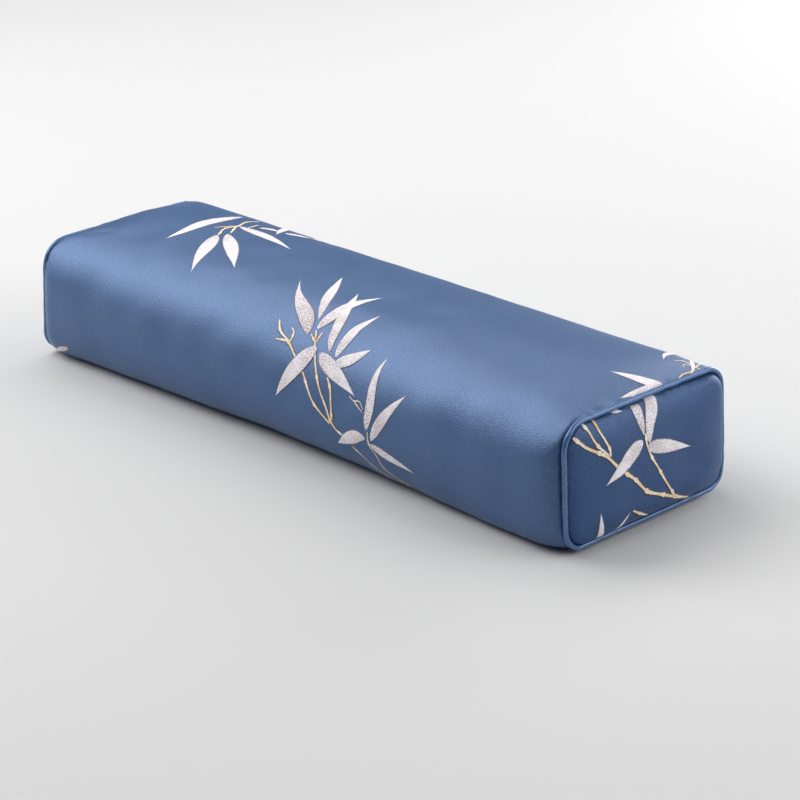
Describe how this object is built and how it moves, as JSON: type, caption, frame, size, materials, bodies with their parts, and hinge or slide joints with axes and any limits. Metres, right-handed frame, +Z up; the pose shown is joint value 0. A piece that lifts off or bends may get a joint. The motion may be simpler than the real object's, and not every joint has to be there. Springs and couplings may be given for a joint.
{
  "type": "buckwheat pillow",
  "caption": "Long box-shaped pillow filled with buckwheat husks, with a satin body, an end panel at each end and corded piping around each end seam.",
  "frame": {"origin": "on the resting surface, under the middle of the pillow's box", "axes": "+Z up, +X along the pillow towards its right-hand end, -Y towards its front"},
  "size_m": [0.5048, 0.1632, 0.0931],
  "materials": {
    "satin_body": "blue satin with a fine weave and woven bamboo leaves",
    "satin_panel": "blue satin with a fine weave and woven bamboo leaves",
    "satin_piping": "blue satin bias strip over a cord",
    "leaf_weft": "silvery white brocade weft of the bamboo leaves, flecked with brown",
    "stem_weft": "cream and gold brocade weft of the bamboo stems, with a brown outline"
  },
  "bodies": {
    "root": {"pillow_body": "satin_body", "end_panel_right": "satin_panel", "end_panel_left": "satin_panel", "piping_right": "satin_piping", "piping_left": "satin_piping"}
  },
  "joints": []
}
